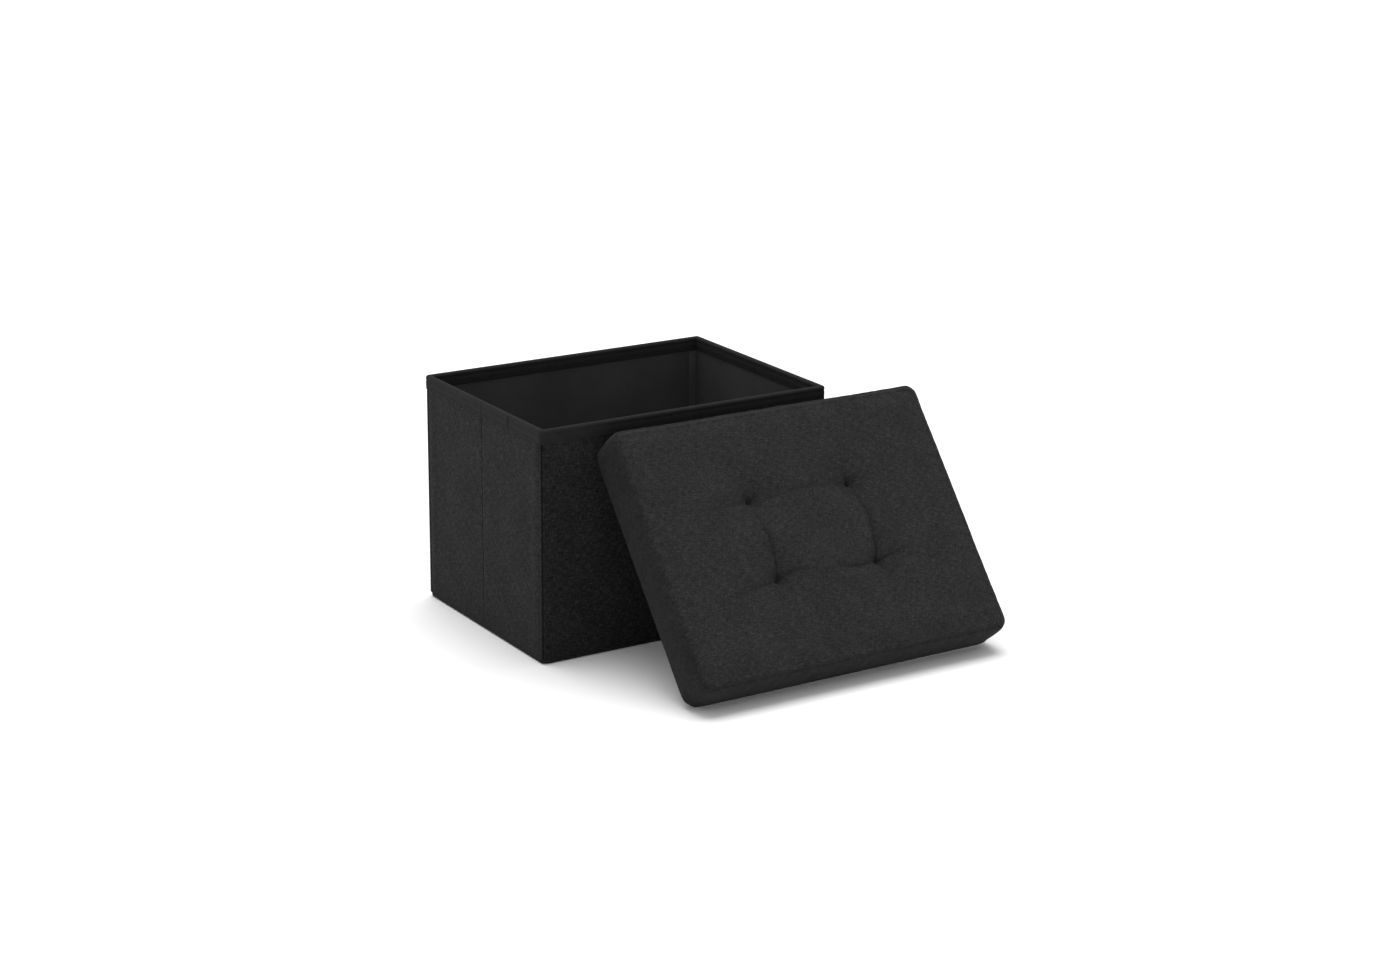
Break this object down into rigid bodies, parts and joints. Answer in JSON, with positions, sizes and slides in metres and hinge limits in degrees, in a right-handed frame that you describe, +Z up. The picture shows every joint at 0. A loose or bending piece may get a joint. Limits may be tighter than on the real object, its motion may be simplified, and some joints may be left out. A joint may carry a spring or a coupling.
{
  "type": "ottoman with storage",
  "caption": "Rectangular fabric storage ottoman that folds flat, with its tufted lift-off lid off and leaning against the front of the open box.",
  "frame": {"origin": "centre of the box's footprint, on the floor", "axes": "+X along the box's long side, -Y out of the front wall that the lid leans on, +Z up"},
  "size_m": [0.4995, 0.536, 0.286],
  "materials": {
    "linen": "heathered linen-look weave",
    "binding": "woven binding tape",
    "lining": "smooth non-woven",
    "board": "raw fibreboard",
    "foam": "soft foam",
    "thread": "twisted thread",
    "plastic": "moulded"
  },
  "bodies": {
    "front_wall": {"front_cover": "linen", "front_board": "board", "front_lining": "lining", "front_band": "binding", "front_left_corner_tape": "binding", "front_right_corner_tape": "binding", "bottom_cloth": "lining", "bottom_hem_front": "lining", "bottom_hem_rear": "lining", "bottom_hem_left": "lining", "bottom_hem_right": "lining"},
    "left_front_panel": {"left_front_cover": "linen", "left_front_board": "board", "left_front_lining": "lining", "left_front_band": "binding"},
    "left_rear_panel": {"left_rear_cover": "linen", "left_rear_board": "board", "left_rear_lining": "lining", "left_rear_band": "binding"},
    "rear_wall": {"rear_cover": "linen", "rear_board": "board", "rear_lining": "lining", "rear_band": "binding", "rear_left_corner_tape": "binding", "rear_right_corner_tape": "binding"},
    "right_front_panel": {"right_front_cover": "linen", "right_front_board": "board", "right_front_lining": "lining", "right_front_band": "binding"},
    "right_rear_panel": {"right_rear_cover": "linen", "right_rear_board": "board", "right_rear_lining": "lining", "right_rear_band": "binding"},
    "base": {"base_board": "board", "base_wrap": "lining"},
    "lid": {"lid_board": "board", "lid_top_foam": "foam", "lid_top_cover": "linen", "lid_lining": "lining", "lid_front_cover": "linen", "lid_front_foam": "foam", "lid_front_board": "board", "lid_rear_cover": "linen", "lid_rear_foam": "foam", "lid_rear_board": "board", "lid_left_cover": "linen", "lid_left_foam": "foam", "lid_left_board": "board", "lid_right_cover": "linen", "lid_right_foam": "foam", "lid_right_board": "board", "tuft_tie_1": "thread", "tuft_washer_1": "plastic", "tuft_tie_2": "thread", "tuft_washer_2": "plastic", "tuft_tie_3": "thread", "tuft_washer_3": "plastic", "tuft_tie_4": "thread", "tuft_washer_4": "plastic"}
  },
  "joints": [
    {"name": "fold", "type": "hinge", "parent": "front_wall", "child": "left_front_panel", "pos_m": [-0.1898, -0.1378, 0], "axis": [0, 0, -1], "range_deg": [0, 88], "deforming": ["bottom_cloth", "bottom_hem_front", "bottom_hem_rear", "bottom_hem_left", "bottom_hem_right"]},
    {"name": "left_crease", "type": "hinge", "parent": "left_front_panel", "child": "left_rear_panel", "pos_m": [-0.1982, 0, 0], "axis": [0, 0, 1], "range_deg": [0, 176]},
    {"name": "rear_left_corner", "type": "hinge", "parent": "left_rear_panel", "child": "rear_wall", "pos_m": [-0.1898, 0.1378, 0], "axis": [0, 0, -1], "range_deg": [0, 88]},
    {"name": "front_right_corner", "type": "hinge", "parent": "front_wall", "child": "right_front_panel", "pos_m": [0.1898, -0.1378, 0], "axis": [0, 0, 1], "range_deg": [0, 88]},
    {"name": "right_crease", "type": "hinge", "parent": "right_front_panel", "child": "right_rear_panel", "pos_m": [0.1982, 0, 0], "axis": [0, 0, -1], "range_deg": [0, 176]},
    {"name": "base_board_lift", "type": "slide", "parent": "front_wall", "child": "base", "axis": [0, 0, 1], "range_m": [0, 0.32]},
    {"name": "lid_lift", "type": "slide", "parent": "front_wall", "child": "lid", "axis": [0, -0.7738, 0.6334], "range_m": [0, 0.3]}
  ],
  "couplings": [
    {"joint": "left_crease", "follows": "fold", "ratio": 2},
    {"joint": "rear_left_corner", "follows": "fold", "ratio": 1},
    {"joint": "front_right_corner", "follows": "fold", "ratio": 1},
    {"joint": "right_crease", "follows": "fold", "ratio": 2}
  ]
}
